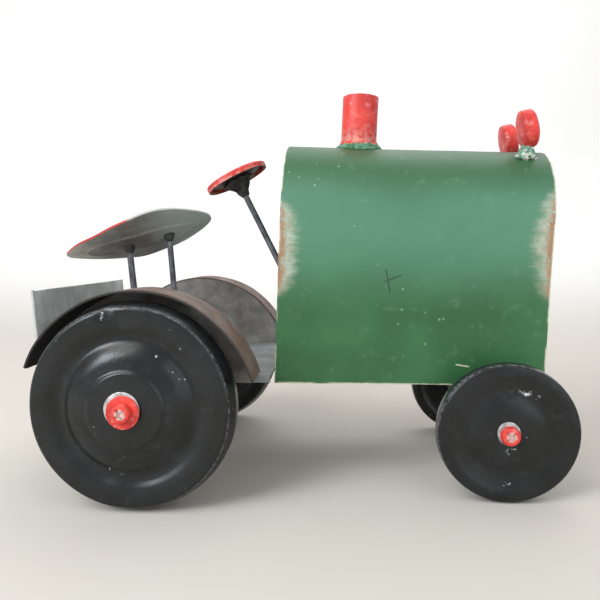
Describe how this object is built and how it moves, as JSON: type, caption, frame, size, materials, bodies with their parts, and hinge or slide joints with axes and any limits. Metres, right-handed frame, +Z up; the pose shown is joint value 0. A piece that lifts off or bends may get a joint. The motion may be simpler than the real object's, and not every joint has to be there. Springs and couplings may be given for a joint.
{
  "type": "toy tractor",
  "caption": "Small sheet-metal toy tractor with an arched hood, exhaust stack, pan seat, fenders and free-rolling pressed wheels.",
  "frame": {"origin": "on the ground under the wheels, at the middle of the tractor's length and width", "axes": "+X forward, towards the hood's front; +Y to the driver's left; +Z up"},
  "size_m": [0.2912, 0.2012, 0.2173],
  "materials": {
    "green_paint": "satin enamel, scorched and chipped at the ends of the hood",
    "red_paint": "satin enamel, a little chalky",
    "black_paint": "semi-gloss black enamel over pressed sheet",
    "seat_steel": "dull oiled steel below, red enamel on top",
    "dark_steel": "dark drawn steel rod with weld scale",
    "rusty_steel": "bare steel with a brown film of rust",
    "grey_sheet": "grey zinc-dull sheet",
    "zinc_washer": "bright plain steel washer"
  },
  "bodies": {
    "chassis": {"hood_shell": "green_paint", "grille_plate": "green_paint", "dash_plate": "green_paint", "stack_weld_bead": "green_paint", "headlight_stub_right": "green_paint", "headlight_stub_left": "green_paint", "exhaust_stack": "red_paint", "headlight_right": "red_paint", "headlight_left": "red_paint", "rear_red_washer_right": "red_paint", "rear_red_washer_left": "red_paint", "rear_screw_right": "red_paint", "rear_screw_left": "red_paint", "front_screw_right": "red_paint", "front_screw_left": "red_paint", "seat_pan": "seat_steel", "seat_post_rear": "dark_steel", "seat_post_front": "dark_steel", "seat_weld_rear": "dark_steel", "seat_weld_front": "dark_steel", "column_bush": "dark_steel", "rear_axle": "dark_steel", "front_axle": "dark_steel", "rear_hanger_right": "dark_steel", "rear_hanger_left": "dark_steel", "rear_spacer_right": "dark_steel", "rear_spacer_left": "dark_steel", "front_hanger_right": "dark_steel", "front_hanger_left": "dark_steel", "front_spacer_right": "dark_steel", "front_spacer_left": "dark_steel", "fender_strip_right": "rusty_steel", "fender_strip_left": "rusty_steel", "fender_plate_right": "rusty_steel", "fender_plate_left": "rusty_steel", "deck_plate": "grey_sheet", "tail_plate": "grey_sheet", "rear_big_washer_right": "zinc_washer", "rear_big_washer_left": "zinc_washer", "front_washer_right": "zinc_washer", "front_washer_left": "zinc_washer"},
    "rear_wheel_right": {"rear_wheel_right_outer_pan": "black_paint", "rear_wheel_right_inner_pan": "black_paint", "rear_wheel_right_sleeve": "black_paint"},
    "rear_wheel_left": {"rear_wheel_left_outer_pan": "black_paint", "rear_wheel_left_inner_pan": "black_paint", "rear_wheel_left_sleeve": "black_paint"},
    "front_wheel_right": {"front_wheel_right_outer_pan": "black_paint", "front_wheel_right_inner_pan": "black_paint", "front_wheel_right_sleeve": "black_paint"},
    "front_wheel_left": {"front_wheel_left_outer_pan": "black_paint", "front_wheel_left_inner_pan": "black_paint", "front_wheel_left_sleeve": "black_paint"},
    "steering": {"steering_wheel": "red_paint", "steering_boss": "dark_steel", "steering_column": "dark_steel", "column_collar": "dark_steel"}
  },
  "joints": [
    {"name": "rear_wheel_right_spin", "type": "hinge", "parent": "chassis", "child": "rear_wheel_right", "pos_m": [-0.07484, -0.0804, 0.0517], "axis": [0, 1, 0], "continuous": true},
    {"name": "rear_wheel_left_spin", "type": "hinge", "parent": "chassis", "child": "rear_wheel_left", "pos_m": [-0.07484, 0.0804, 0.0517], "axis": [0, 1, 0], "continuous": true},
    {"name": "front_wheel_right_spin", "type": "hinge", "parent": "chassis", "child": "front_wheel_right", "pos_m": [0.11006, -0.0606, 0.0355], "axis": [0, 1, 0], "continuous": true},
    {"name": "front_wheel_left_spin", "type": "hinge", "parent": "chassis", "child": "front_wheel_left", "pos_m": [0.11006, 0.0606, 0.0355], "axis": [0, 1, 0], "continuous": true},
    {"name": "steering_spin", "type": "hinge", "parent": "chassis", "child": "steering", "pos_m": [-0.03724, 0, 0.1712], "axis": [-0.4446, 0, 0.8957], "continuous": true}
  ]
}
